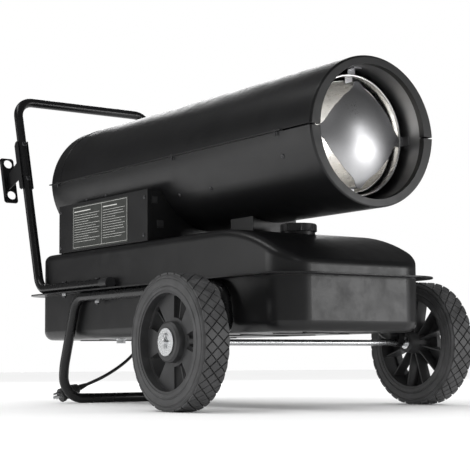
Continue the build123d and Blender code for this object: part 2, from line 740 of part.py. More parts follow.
def axle_saddles():
    """Straps that clamp the axle under the frame's feet."""
    found = []
    for side in (-1, 1):
        y0, y1 = sorted((side * 230, side * 246))
        strap = rod_y(AXLE_R + 2, y0, y1, 0, WHEEL_R)
        strap += block(-TUBE_R - 2, TUBE_R + 2, y0, y1, WHEEL_R - 1, FOOT_Z)
        strap += rod_y(TUBE_R + 2, y0, y1, 0, FOOT_Z)
        strap -= rod_y(TUBE_R + 0.05, y0 - 1, y1 + 1, 0, FOOT_Z)
        strap -= rod_y(AXLE_R + 0.05, y0 - 1, y1 + 1, 0, WHEEL_R)
        found.append(strap)
    return found


def axle():
    rod = rod_y(AXLE_R, -337, 337, 0, WHEEL_R)
    rod = chamfer(rod.edges(), 1.0)
    for side in (-1, 1):
        rod -= rod_z(1.7, WHEEL_R - 10, WHEEL_R + 10, 0, side * 333.6)
    return rod


def hub_washers():
    ring = rod_y(25.5, 328.4, 330.6, 0, WHEEL_R) - rod_y(AXLE_R, 320, 340, 0, WHEEL_R)
    return [ring, other_side(ring)]


def inner_washers():
    ring = rod_y(12, 257.6, 259.6, 0, WHEEL_R) - rod_y(AXLE_R, 250, 270, 0, WHEEL_R)
    return [ring, other_side(ring)]


def cotter_pins():
    pin = rod_z(1.6, WHEEL_R - 12, WHEEL_R + 9, 0, 333.6)
    eye = Pos(0, 333.6, WHEEL_R + 12) * Rot(90, 0, 0) * Torus(3.6, 1.3)
    return [pin + eye, other_side(pin + eye)]


RIM_R = 95.0
HUB_IN_Y, HUB_OUT_Y = 260.0, 328.0


def tyre():
    """Solid tyre with rounded shoulders and a grooved sidewall."""
    inner, outer = WHEEL_FACE_Y - TYRE_WIDTH, WHEEL_FACE_Y
    profile = [(inner, RIM_R), (inner, 121), (inner + 1.5, 124), (inner + 5, WHEEL_R),
               (outer - 5, WHEEL_R), (outer - 1.5, 124), (outer, 121), (outer, 107), (outer - 2, 106),
               (outer - 2, 103), (outer, 102), (outer, RIM_R)]
    return turned_y(profile, z=WHEEL_R)


def rim():
    """Plastic wheel: barrel, dished disc with five windows, boss and back ribs."""
    inner, outer = WHEEL_FACE_Y - TYRE_WIDTH, WHEEL_FACE_Y
    web = outer - 18
    body = turned_y([(inner + 1, 90), (inner + 1, RIM_R), (outer - 1, RIM_R), (outer - 1, 90)])
    body += turned_y([(web - 5, 15), (web - 5, 92), (web, 92), (web, 15)])
    body += turned_y([(HUB_IN_Y, AXLE_R), (HUB_IN_Y, 19), (web - 4, 26), (web - 4, 38),
                      (HUB_OUT_Y - 4, 38), (HUB_OUT_Y, 34), (HUB_OUT_Y, AXLE_R)])
    for turn in range(12):
        rib = block(-1.3, 1.3, inner + 8, web - 3, 18, 91)
        body += Rot(0, turn * 30 + 12, 0) * rib
    window = rod_y(85, web - 6, web + 1) - rod_y(45, web - 7, web + 2)
    half = 17.0
    reach = 200.0
    edge = [(0, 0), (reach * sin(radians(half)), reach * cos(radians(half))),
            (-reach * sin(radians(half)), reach * cos(radians(half)))]
    wedge = extrude(Plane.XZ * make_face(Polyline(*edge, close=True)), 800, both=True)
    cutter = window & wedge
    for turn in range(5):
        body -= Rot(0, turn * 72 + 90, 0) * cutter
    body -= rod_y(AXLE_R + RUNNING_GAP, 200, 400)
    return Pos(0, 0, WHEEL_R) * body


# ---------------------------------------------------------------- handle
def handle():
    top_x, top_z = HANDLE_TOP
    side = [(HANDLE_FRONT, -RAIL_Y, HANDLE_Z), (HANDLE_BEND_X, -RAIL_Y, HANDLE_Z), (top_x, -RAIL_Y, top_z)]
    back = [(x, -y, z) for x, y, z in reversed(side)]
    tube = bent_tube(side + back, [42, 42, 42, 42])
    for x in BOLT_X[:2]:
        for hand in (-1, 1):
            tube -= rod_z(BOLT_R + 0.3, 245, 290, x, hand * RAIL_Y)
    for z in WRAP_BOLT_Z:
        tube -= wrap_place(z) * rod_x(BOLT_R + 0.3, -14, 14)
    return tube


def handle_caps():
    cap = rod_x(12.8, -472, -441, -RAIL_Y, HANDLE_Z) - rod_x(TUBE_R + 0.05, -473, HANDLE_FRONT, -RAIL_Y, HANDLE_Z)
    cap -= block(-473, -440, -RAIL_Y - 20, -RAIL_Y + 20, 240, HANDLE_Z - TUBE_R + 0.05)
    return [cap, other_side(cap)]


def handle_bolts():
    found = []
    for x in BOLT_X:
        top = HANDLE_Z + TUBE_R if x < -200 else TANK_SEAM_Z + FLANGE_SHEET
        low = FRAME_Z - TUBE_R - 9 if x > -600 else TANK_SEAM_Z - FLANGE_SHEET - 9
        for side in (-1, 1):
            y = side * RAIL_Y
            found.append(rod_z(BOLT_R, low, top, x, y) + rod_z(6.2, top, top + 3.2, x, y))
    return found


def handle_nuts():
    found = []
    for x in BOLT_X:
        low = FRAME_Z - TUBE_R if x > -600 else TANK_SEAM_Z - FLANGE_SHEET
        for side in (-1, 1):
            nut = Pos(x, side * RAIL_Y, low - 5.4) * extrude(RegularPolygon(5.8, 6), 5.4)
            found.append(nut - rod_z(BOLT_R, low - 10, low + 2, x, side * RAIL_Y))
    return found


# The cord wrap sits on the right-hand upright and leans with it.
WRAP_MIDDLE = 571.5
WRAP_BOLT_Z = (534.0, 621.0)
WRAP_HALF = 62.0          # half the channel's length
PLATE_X = -72.8           # front face of the holed plate, from the tube's centre line
PLATE_Y = (-27.0, 9.5)
HOLE_R = 11.0
HOLE_Y = -6.0
HOLE_HEIGHTS = (33.0, -50.0)


def upright_lean():
    top_x, top_z = HANDLE_TOP
    return degrees(atan2(HANDLE_BEND_X - top_x, top_z - HANDLE_Z))


def wrap_place(z):
    """The upright's centre line at height z, with local Z along the tube."""
    top_x, top_z = HANDLE_TOP
    share = (z - HANDLE_Z) / (top_z - HANDLE_Z)
    x = HANDLE_BEND_X + share * (top_x - HANDLE_BEND_X)
    return Pos(x, -RAIL_Y, z) * Rot(0, -upright_lean(), 0)


def cord_wrap():
    """Channel round the back of the tube, an arm to the rear and a plate with two holes."""
    sheet = 2.0
    back, inside = -TUBE_R - 0.1, 12.4
    low, high = -WRAP_HALF, WRAP_HALF
    channel = block(back - sheet, back, -inside - sheet, inside + sheet, low, high)
    for side in (-1, 1):
        y0, y1 = sorted((side * inside, side * (inside + sheet)))
        channel += block(back - sheet, 5, y0, y1, low, high)
    cut = 7.0
    clipped = [(back - sheet, low + cut), (back - sheet + cut, low), (TUBE_R, low), (TUBE_R, high),
               (back - sheet + cut, high), (back - sheet, high - cut)]
    channel &= extrude(Plane.XZ * make_face(Polyline(*clipped, close=True)), 30, both=True)
    side_face = [(back, 10), (PLATE_X - 1, -2), (PLATE_X - 1, -38), (back, -34)]
    arm = extrude(Plane.XZ * make_face(Polyline(*side_face, close=True)), sheet)
    body = channel + Pos(0, -inside, 0) * arm
    y0, y1 = PLATE_Y
    plate = block(PLATE_X - 2.5, PLATE_X, y0, y1, -70.5, 47.5)
    plate = fillet(plate.edges().filter_by(Axis.X), 7)
    body += plate + block(PLATE_X - 1, PLATE_X + 8, y0, y0 + 2.5, -58, 36)
    for height in HOLE_HEIGHTS:
        body -= rod_x(HOLE_R, PLATE_X - 10, PLATE_X + 10, HOLE_Y, height)
    body = wrap_place(WRAP_MIDDLE) * body
    for z in WRAP_BOLT_Z:
        body -= wrap_place(z) * rod_x(BOLT_R + 0.3, -20, 0)
    return body


def wrap_bolts():
    """Bolts from the front of the tube to nuts behind the channel."""
    behind = -TUBE_R - 2.2
    found = []
    for z in WRAP_BOLT_Z:
        bolt = rod_x(BOLT_R, behind - 6, TUBE_R + 0.5) + rod_x(5.6, TUBE_R + 0.1, TUBE_R + 3.4)
        bolt += rod_x(5.0, behind - 3.6, behind - 0.1)
        found.append(wrap_place(z) * bolt)
    return found


# ---------------------------------------------------------------- write the nodes
def write_all():
    save("upper_shell", shell(1))
    save("lower_shell", shell(-1))
    save("sheet_screws", group(seam_screws() + shell_screws() + cover_screws()))
    save("nose_liner", nose_liner())
    save("combustion_chamber", chamber())
    save("chamber_liner", chamber_liner())
    save("flame_deflector", deflector())
    save("chamber_straps", group(straps()))
    save("burner_head", burner_head())
    save("nozzle", nozzle())
    save("igniter", group(igniter()))
    save("photocell", photocell())
    save("motor", motor())
    save("motor_bracket", motor_bracket())
    save("motor_shaft", shaft())
    save("fan", fan())
    save("pump_body", pump_body())
    save("pump_rotor", group([pump_rotor()] + pump_vanes()))
    save("pump_cover", pump_cover())
    save("pressure_gauge", pressure_gauge())
    save("air_line", air_line())
    save("fuel_line", fuel_line())
    save("fuel_filter", fuel_filter())
    save("rear_guard", rear_guard())
    save("tank_upper", tank_upper())
    save("tank_lower", tank_lower())
    save("filler_neck", filler_neck())
    save("filler_strainer", strainer())
    save("fuel_cap", fuel_cap())
    save("drain_plug", group([drain_plug(), drain_washer()]))
    save("front_bracket", front_bracket())
    save("control_housing", control_housing())
    save("side_cover", side_panel(-1))
    save("control_panel", control_panel())
    save("knockout_plugs", group(knockout_plugs()))
    save("info_plate", info_plate())
    save("circuit_board", circuit_board())
    save("ignition_transformer", ignition_transformer())
    save("switch_frame", switch_frame())
    save("power_rocker", rocker())
    save("thermostat_knob", knob())
    save("thermostat", thermostat())
    save("status_lamp", status_lamp())
    save("strain_relief", strain_relief())
    save("power_cord", power_cord())
    save("power_plug", group([plug_body()] + plug_blades()))
    save("wheel_frame", wheel_frame())
    save("axle", axle())
    save("axle_saddles", group(axle_saddles()))
    save("axle_washers", group(hub_washers() + inner_washers()))
    save("cotter_pins", group(cotter_pins()))
    save("left_rim", rim())
    save("left_tyre", tyre())
    save("right_rim", other_side(rim()))
    save("right_tyre", other_side(tyre()))
    save("handle", handle())
    save("handle_caps", group(handle_caps()))
    save("frame_bolts", group(handle_bolts() + wrap_bolts()))
    save("frame_nuts", group(handle_nuts()))
    save("cord_wrap", cord_wrap())


write_all()

radii = cord_radii(CORD_ROUTE)
print("cord radii", [round(value) for value in radii])
path = FilletPolyline(*CORD_ROUTE, radius=radii)
print("cord length", round(path.length), "volume by length", round(path.length * pi * CORD_R**2))
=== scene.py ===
import json
from math import cos, pi, radians, sin

import bpy
import numpy as np
from mathutils import Matrix, Vector


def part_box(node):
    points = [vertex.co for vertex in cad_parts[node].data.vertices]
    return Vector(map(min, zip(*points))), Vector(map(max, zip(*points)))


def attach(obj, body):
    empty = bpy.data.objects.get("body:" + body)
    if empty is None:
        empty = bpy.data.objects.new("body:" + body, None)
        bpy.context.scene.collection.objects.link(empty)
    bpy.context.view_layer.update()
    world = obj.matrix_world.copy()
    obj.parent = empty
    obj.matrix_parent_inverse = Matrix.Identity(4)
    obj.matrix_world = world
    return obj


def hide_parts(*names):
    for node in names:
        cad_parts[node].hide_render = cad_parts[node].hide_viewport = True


# A forced-air kerosene heater in black powder coat, drawn around its CAD frame.
# Metres, in the frame's own axes: the hot-air outlet looks along +X, +Z is up,
# and the machine stands on z = 0.

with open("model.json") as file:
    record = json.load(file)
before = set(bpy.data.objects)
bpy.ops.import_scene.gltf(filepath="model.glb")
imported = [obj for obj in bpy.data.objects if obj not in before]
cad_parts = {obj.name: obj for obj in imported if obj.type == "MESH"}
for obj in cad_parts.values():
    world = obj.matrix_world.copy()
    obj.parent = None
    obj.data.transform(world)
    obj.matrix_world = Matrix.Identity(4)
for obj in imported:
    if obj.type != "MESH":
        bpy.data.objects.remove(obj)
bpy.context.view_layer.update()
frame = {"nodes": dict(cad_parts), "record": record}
nodes = frame["nodes"]

MM = 0.001


def middle(node):
    low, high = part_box(node)
    return (low + high) / 2


BARREL = middle("motor_shaft")
SHELL_RADIUS = 151.5 * MM     # the barrel's outer radius
SHARP_ANGLE = radians(32.0)   # steeper edges stay crisp under smooth shading


# ------------------------------------------------------------------ materials
class Finish:
    """One Principled material and the node chains that give it its detail."""

    def __init__(self, name, metal=0.0, gloss=0.5):
        self.material = bpy.data.materials.new(name)
        self.material.use_nodes = True
        self.tree = self.material.node_tree
        self.shader = self.tree.nodes["Principled BSDF"]
        self.shader.inputs["Metallic"].default_value = metal
        self.shader.inputs["Specular IOR Level"].default_value = gloss
        self.normal = None

    def node(self, kind, **settings):
        made = self.tree.nodes.new("ShaderNode" + kind)
        for name, value in settings.items():
            setattr(made, name, value)
        return made

    def wire(self, source, target):
        self.tree.links.new(source, target)

    def place(self, scale=(1, 1, 1), turn=(0, 0, 0)):
        """Object coordinates in metres, stretched and turned."""
        mapping = self.node("Mapping")
        mapping.inputs["Scale"].default_value = scale
        mapping.inputs["Rotation"].default_value = turn
        self.wire(self.node("TexCoord").outputs["Object"], mapping.inputs["Vector"])
        return mapping.outputs["Vector"]

    def noise(self, scale, detail=2.0, rough=0.5, where=None):
        made = self.node("TexNoise")
        made.inputs["Scale"].default_value = scale
        made.inputs["Detail"].default_value = detail
        made.inputs["Roughness"].default_value = rough
        self.wire(where or self.place(), made.inputs["Vector"])
        return made.outputs["Fac"]

    def span(self, value, low, high, to_low=0.0, to_high=1.0):
        """Moves a value from one range to another, held at the ends."""
        made = self.node("MapRange")
        for name, number in (("From Min", low), ("From Max", high), ("To Min", to_low), ("To Max", to_high)):
            made.inputs[name].default_value = number
        self.wire(value, made.inputs["Value"])
        return made.outputs["Result"]

    def sums(self, operation, one, two):
        made = self.node("Math", operation=operation)
        for socket, value in zip(made.inputs, (one, two)):
            if isinstance(value, (int, float)):
                socket.default_value = value
            else:
                self.wire(value, socket)
        return made.outputs[0]

    def mix(self, share, one, two):
        """Colour one where share is 0, colour two where it is 1."""
        made = self.node("Mix", data_type="RGBA")
        self.wire(share, made.inputs["Factor"])
        for socket, colour in ((made.inputs[6], one), (made.inputs[7], two)):
            if isinstance(colour, tuple):
                socket.default_value = (*colour, 1.0)
            else:
                self.wire(colour, socket)
        return made.outputs[2]

    def edges(self, radius):
        """Rounds the sharp edges, and returns 0 on faces rising to 1 on edges."""
        bevel = self.node("Bevel", samples=6)
        bevel.inputs["Radius"].default_value = radius
        self.normal = bevel.outputs["Normal"]
        dot = self.node("VectorMath", operation="DOT_PRODUCT")
        self.wire(bevel.outputs["Normal"], dot.inputs[0])
        self.wire(self.node("NewGeometry").outputs["Normal"], dot.inputs[1])
        return self.span(dot.outputs["Value"], 0.985, 0.80)

    def bump(self, height, distance, strength=1.0):
        made = self.node("Bump")
        made.inputs["Distance"].default_value = distance
        made.inputs["Strength"].default_value = strength
        self.wire(height, made.inputs["Height"])
        if self.normal:
            self.wire(self.normal, made.inputs["Normal"])
        self.normal = made.outputs["Normal"]

    def done(self, colour, rough):
        self.wire(colour, self.shader.inputs["Base Color"])
        self.wire(rough, self.shader.inputs["Roughness"])
        if self.normal:
            self.wire(self.normal, self.shader.inputs["Normal"])
        return self.material


def powder_coat(name, colour, rough, peel):
    """Baked powder: orange peel, a fine speckle, faint handling marks, and a painted highlight that lightens
    the colour along the sharp edges.
    """
    f = Finish(name, gloss=0.38)
    edge = f.edges(0.8 * MM)
    lighter = tuple(c * 1.4 + 0.002 for c in colour)
    # painted edge highlight: the colour is lightened where the bevel finds a sharp edge, standing in for
    # light caught on the edges
    painted_edge_highlight = tuple(c * 3.0 + 0.012 for c in colour)
    speckle = f.span(f.noise(1500, 1), 0.35, 0.65)
    broad = f.span(f.noise(7, 3), 0.35, 0.70)
    base = f.mix(f.sums("MULTIPLY", speckle, broad), colour, lighter)
    f.bump(f.noise(620, 2), peel)
    marks = f.span(f.noise(26, 4, 0.6), 0.40, 0.75, rough, rough + 0.09)
    return f.done(f.mix(f.sums("MULTIPLY", edge, 0.55), base, painted_edge_highlight), marks)


def moulded_plastic(name, colour, rough, grain=900.0, depth=0.05 * MM):
    """Spark-eroded mould texture, with a painted highlight that lightens the colour along the sharp edges."""
    f = Finish(name, gloss=0.38)
    edge = f.edges(0.6 * MM)
    texture = f.noise(grain, 3, 0.6)
    f.bump(texture, depth)
    lighter = tuple(c * 1.6 + 0.006 for c in colour)
    patch = f.span(f.noise(30, 3), 0.35, 0.7)
    base = f.mix(f.sums("MULTIPLY", patch, 0.6), colour, lighter)
    # painted edge highlight: the colour is lightened where the bevel finds a sharp edge, standing in for
    # light caught on the edges
    base = f.mix(f.sums("MULTIPLY", edge, 0.5), base, tuple(c * 2.2 + 0.012 for c in colour))
    return f.done(base, f.span(texture, 0.3, 0.7, rough - 0.05, rough + 0.07))


def tyre_rubber(name, colour):
    """Moulded rubber with a patchy grey bloom."""
    f = Finish(name)
    f.edges(0.7 * MM)
    fine = f.noise(1100, 3, 0.65)
    f.bump(fine, 0.06 * MM)
    bloom = f.span(f.noise(38, 4, 0.6), 0.38, 0.72)
    base = f.mix(bloom, colour, tuple(c * 1.7 + 0.008 for c in colour))
    return f.done(base, f.span(bloom, 0.0, 1.0, 0.47, 0.60))


def steel(name, colour, rough, streak=(1, 1, 1), tint=None, tint_from=0.55):
    """Bare or plated metal; streak stretches the grain, tint adds heat colours."""
    f = Finish(name, metal=1.0)
    f.edges(0.5 * MM)
    grain = f.noise(520, 3, 0.6, f.place(streak))
    f.bump(grain, 0.012 * MM)
    patch = f.span(f.noise(16, 4, 0.6), 0.35, 0.7)
    base = f.mix(patch, tuple(c * 0.86 for c in colour), colour)
    if tint:
        heat = f.span(f.noise(9, 3, 0.55, f.place((0.6, 1, 1))), tint_from, tint_from + 0.16)
        base = f.mix(heat, base, tint)
    spread = f.sums("MULTIPLY", f.sums("SUBTRACT", grain, 0.5), 0.22)
    return f.done(base, f.sums("ADD", f.span(patch, 0, 1, rough + 0.05, rough), spread))


def plain_plastic(name, colour, rough):
    """A smooth moulding with a trace of flow marks."""
    return moulded_plastic(name, colour, rough, grain=140.0, depth=0.02 * MM)


finishes = {
    "black_coat": powder_coat("satin_black_powder", (0.005, 0.005, 0.0055), 0.33, 0.035 * MM),
    "frame_coat": powder_coat("gloss_black_powder", (0.005, 0.005, 0.0055), 0.25, 0.025 * MM),
    "liner_steel": steel("dull_liner", (0.30, 0.30, 0.31), 0.40),
    "bright_steel": steel("bright_stainless", (0.90, 0.89, 0.87), 0.26, streak=(0.15, 1, 1),
                          tint=(0.66, 0.56, 0.43), tint_from=0.58),
    "deflector_steel": steel("satin_stainless", (0.46, 0.46, 0.47), 0.30),
    "zinc": steel("bright_zinc", (0.78, 0.79, 0.80), 0.24),
    "dark_screw": steel("blackened_screw", (0.12, 0.12, 0.125), 0.34),
    "brass": steel("turned_brass", (0.75, 0.56, 0.28), 0.26),
    "copper_line": steel("drawn_copper", (0.78, 0.42, 0.28), 0.28),
    "motor_case": powder_coat("motor_enamel", (0.06, 0.065, 0.07), 0.42, 0.06 * MM),
    "machined_steel": steel("turned_steel", (0.62, 0.62, 0.63), 0.25),
    "fan_aluminium": steel("stamped_aluminium", (0.72, 0.73, 0.74), 0.34),
    "pump_casting": steel("die_casting", (0.52, 0.53, 0.54), 0.46),
    "carbon": moulded_plastic("moulded_carbon", (0.02, 0.02, 0.02), 0.50),
    "white_ceramic": plain_plastic("glazed_ceramic", (0.80, 0.78, 0.73), 0.18),
    "black_plastic": moulded_plastic("black_plastic", (0.016, 0.016, 0.017), 0.42),
    "gloss_black": plain_plastic("polished_black", (0.010, 0.010, 0.010), 0.16),
    "filter_felt": moulded_plastic("filter_felt", (0.50, 0.45, 0.33), 0.75, 420.0, 0.25 * MM),
    "lamp_lens": plain_plastic("lamp_lens", (0.42, 0.03, 0.02), 0.12),
    "gauge_face": plain_plastic("gauge_enamel", (0.70, 0.70, 0.68), 0.25),
    "board_green": plain_plastic("solder_mask", (0.02, 0.12, 0.05), 0.30),
    "plate_film": plain_plastic("printed_film", (0.030, 0.032, 0.029), 0.33),
    "wheel_plastic": moulded_plastic("glass_filled_nylon", (0.030, 0.030, 0.031), 0.46, 700.0),
    "tyre_rubber": tyre_rubber("tyre_rubber", (0.034, 0.034, 0.035)),
    "lead_rubber": moulded_plastic("lead_rubber", (0.016, 0.016, 0.016), 0.44, 600.0),
}
pale_ink = plain_plastic("pale_ink", (0.50, 0.50, 0.48), 0.45)


def dress(piece, slot):
    """Gives a piece the finish of a slot."""
    piece.data.materials.clear()
    piece.data.materials.append(finishes[slot])


def shade(piece):
    """Smooth shading that breaks at sharp edges."""
    mesh = piece.data
    mesh.polygons.foreach_set("use_smooth", [True] * len(mesh.polygons))
    mesh.set_sharp_from_angle(angle=SHARP_ANGLE)


for part in frame["record"]["subparts"]:
    dress(nodes[part["node"]], part["material_slot"])


# ------------------------------------------------------------------ mesh helpers
def build(name, points, faces, slot, body, stands_for=()):
    """A mesh piece with its finish, riding on a body."""
    mesh = bpy.data.meshes.new(name)
    mesh.from_pydata([tuple(p) for p in points], [], faces)
    mesh.validate()
    piece = bpy.data.objects.new(name, mesh)
    bpy.context.scene.collection.objects.link(piece)
    shade(piece)
    dress(piece, slot)
    if stands_for:
        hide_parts(*stands_for)
    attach(piece, body)
    return piece


class Shape:
    """Points and faces gathered from several simple forms."""

    def __init__(self):
        self.points = []
        self.faces = []

    def loft(self, rings, lids=True):
        """Skins between rings of the same number of points."""
        first, count = len(self.points), len(rings[0])
        for ring in rings:
            self.points += ring
        for row in range(len(rings) - 1):
            for i in range(count):
                j = (i + 1) % count
                a, b = first + row * count, first + (row + 1) * count
                self.faces.append((a + i, a + j, b + j, b + i))
        if lids:
            last = first + (len(rings) - 1) * count
            self.faces.append(tuple(range(first, first + count))[::-1])
            self.faces.append(tuple(range(last, last + count)))

    def turned(self, profile, place, steps=48, closed=False):
        """Turns (distance, radius) points about a placed Z axis."""
        loop = profile + profile[:1] if closed else profile
        rings = []
        for along, radius in loop:
            rings.append([place @ Vector((radius * cos(t), radius * sin(t), along))
                          for t in (2 * pi * k / steps for k in range(steps))])
        self.loft(rings, lids=not closed)

    def prism(self, outline, low, high, place, chamfer=0.0):
        """An outline raised from low to high, its top edge chamfered."""
        centre = sum((Vector(p) for p in outline), Vector((0, 0))) / len(outline)

        def ring(inset, z):
            found = []
            for p in outline:
                arm = Vector(p) - centre
                shrunk = centre + arm * (1 - inset / arm.length)
                found.append(place @ Vector((shrunk.x, shrunk.y, z)))
            return found

        rings = [ring(0, low), ring(0, high - chamfer)]
        if chamfer:
            rings.append(ring(chamfer, high))
        self.loft(rings)


def soften(profile, radius, steps=4):
    """Rounds every corner of an open profile."""
    found = [profile[0]]
    for before, here, after in zip(profile, profile[1:], profile[2:]):
        b, h, a = Vector(before), Vector(here), Vector(after)
        cut = min(radius, 0.48 * (b - h).length, 0.48 * (a - h).length)
        start, end = h + (b - h).normalized() * cut, h + (a - h).normalized() * cut
        for k in range(steps + 1):
            t = k / steps
            point = start * (1 - t) ** 2 + h * 2 * t * (1 - t) + end * t ** 2
            found.append((point.x, point.y))
    return found + [profile[-1]]


def pointing(origin, direction, across=(0, 0, 1)):
    """A placement whose Z runs along a direction."""
    z = Vector(direction).normalized()
    x = Vector(across) - z * Vector(across).dot(z)
    if x.length < 0.01:
        x = Vector((1, 0, 0)) - z * z.x
    x.normalize()
    turn = Matrix((x, z.cross(x), z)).transposed().to_4x4()
    return Matrix.Translation(Vector(origin)) @ turn


for node in nodes.values():
    shade(node)

# ------------------------------------------------------------------ camera, light and floor
CAMERA_AT = (2.4218, -1.6357, 0.0869)
CAMERA_HEADING = radians(54.54)
CAMERA_PITCH = radians(5.52)
CAMERA_ROLL = radians(-0.43)
LENS = 101.98


def make_camera():
    """A long lens, low and to the right of the hot-air outlet."""
    data = bpy.data.cameras.new("camera")
    data.sensor_width = 36.0
    data.lens = LENS
    data.clip_end = 60.0
    camera = bpy.data.objects.new("camera", data)
    bpy.context.scene.collection.objects.link(camera)
    level = Vector((-sin(CAMERA_HEADING), cos(CAMERA_HEADING), 0))
    right = Vector((cos(CAMERA_HEADING), sin(CAMERA_HEADING), 0))
    ahead = level * cos(CAMERA_PITCH) + Vector((0, 0, sin(CAMERA_PITCH)))
    up = -level * sin(CAMERA_PITCH) + Vector((0, 0, cos(CAMERA_PITCH)))
    side = right * cos(CAMERA_ROLL) + up * sin(CAMERA_ROLL)
    top = up * cos(CAMERA_ROLL) - right * sin(CAMERA_ROLL)
    turn = Matrix((side, top, -ahead)).transposed().to_4x4()
    camera.matrix_world = Matrix.Translation(CAMERA_AT) @ turn
    bpy.context.scene.camera = camera


def softbox(name, at, towards, size, power):
    """A soft rectangular light, unseen by the camera."""
    data = bpy.data.lights.new(name, "AREA")
    data.shape = "RECTANGLE"
    data.size, data.size_y = size
    data.energy = power
    light = bpy.data.objects.new(name, data)
    bpy.context.scene.collection.objects.link(light)
    facing = pointing(at, Vector(at) - Vector(towards))
    light.matrix_world = facing @ Matrix.Rotation(pi / 2, 4, "Z")
    light.visible_camera = False


DIM_WORLD = 0.10              # the surroundings' strength in reflections


def make_world():
    """Pale to the camera and to plain surfaces, dim in reflections, as in a dark studio with softboxes."""
    world = bpy.data.worlds.new("studio")
    world.use_nodes = True
    tree = world.node_tree
    back = tree.nodes["Background"]
    back.inputs["Color"].default_value = (1.0, 1.0, 1.0, 1)
    path = tree.nodes.new("ShaderNodeLightPath")
    level = tree.nodes.new("ShaderNodeMapRange")
    level.inputs["To Min"].default_value = 1.0
    level.inputs["To Max"].default_value = DIM_WORLD
    tree.links.new(path.outputs["Is Glossy Ray"], level.inputs["Value"])
    tree.links.new(level.outputs["Result"], back.inputs["Strength"])
    bpy.context.scene.world = world


def make_floor():
    """A wide disc of pale paper."""
    steps, reach = 64, 14.0
    ring = [(reach * cos(2 * pi * k / steps), reach * sin(2 * pi * k / steps), 0.0) for k in range(steps)]
    mesh = bpy.data.meshes.new("floor")
    mesh.from_pydata(ring, [], [tuple(range(steps))])
    floor = bpy.data.objects.new("floor", mesh)
    bpy.context.scene.collection.objects.link(floor)
    paper = Finish("floor_paper", gloss=0.1)
    tone = paper.mix(paper.noise(3, 3), (0.93, 0.93, 0.93), (0.96, 0.96, 0.96))
    mesh.materials.append(paper.done(tone, paper.span(paper.noise(40, 2), 0, 1, 0.75, 0.85)))


def make_studio():
    bpy.context.scene.view_settings.view_transform = "Standard"
    make_world()
    make_floor()
    softbox("side_wall", (-2.2, -3.0, 0.9), (0.1, -0.1, 0.30), (1.3, 1.4), 10)
    softbox("side_low", (-1.6, -3.2, 0.25), (0.0, -0.2, 0.2), (1.4, 0.4), 8)
    softbox("top_strip", (-0.6, -1.6, 3.0), (0, 0, 0.5), (2.8, 0.35), 20)
    softbox("front_panel", (2.9, 2.1, 0.42), (0.5, 0, 0.3), (0.9, 0.5), 18)
    softbox("dome_spot", (2.6, 1.45, 0.95), (0.5, 0, 0.517), (0.24, 0.24), 3)
    softbox("front_fill", (3.2, -0.5, 2.2), (0.5, 0, 0.4), (1.0, 0.8), 5)
    softbox("back_rim", (-2.8, 1.8, 2.0), (-0.3, 0, 0.5), (1.6, 1.0), 24)
    glow = bpy.data.lights.new("chamber_glow", "POINT")
    glow.energy = 0.35
    glow.shadow_soft_size = 0.05
    lamp = bpy.data.objects.new("chamber_glow", glow)
    lamp.location = (BARREL.x + 0.36, 0, BARREL.z)
    lamp.visible_camera = False
    bpy.context.scene.collection.objects.link(lamp)


# ------------------------------------------------------------------ mains lead and plug
LEAD_ROUTE = [
    (-0.3782, 0.100, 0.378), (-0.4142, 0.100, 0.378), (-0.4482, 0.102, 0.373), (-0.4802, 0.107, 0.354),
    (-0.5002, 0.113, 0.319), (-0.5072, 0.118, 0.278), (-0.5072, 0.121, 0.236), (-0.4992, 0.121, 0.195),
    (-0.4822, 0.116, 0.160), (-0.4532, 0.104, 0.137), (-0.4162, 0.084, 0.126), (-0.3812, 0.058, 0.117),
    (-0.3532, 0.027, 0.103), (-0.3342, -0.007, 0.086), (-0.3222, -0.043, 0.069), (-0.3162, -0.0795, 0.053),
    (-0.3162, -0.113, 0.041),
]
LEAD_RADIUS = 3.75 * MM


def make_lead():
    """The mains lead: one NURBS curve through the route."""
    curve = bpy.data.curves.new("mains_lead", "CURVE")
    curve.dimensions = "3D"
    spline = curve.splines.new("NURBS")
    spline.points.add(len(LEAD_ROUTE) - 1)
    for point, at in zip(spline.points, LEAD_ROUTE):
        point.co = (*at, 1.0)
    spline.order_u = 3
    spline.use_endpoint_u = True
    curve.resolution_u = 12
    curve.bevel_depth = LEAD_RADIUS
    curve.bevel_resolution = 6
    curve.use_fill_caps = True
    lead = bpy.data.objects.new("mains_lead", curve)
    bpy.context.scene.collection.objects.link(lead)
    dress(lead, "lead_rubber")
    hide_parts("power_cord")
    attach(lead, "heater")
    return lead


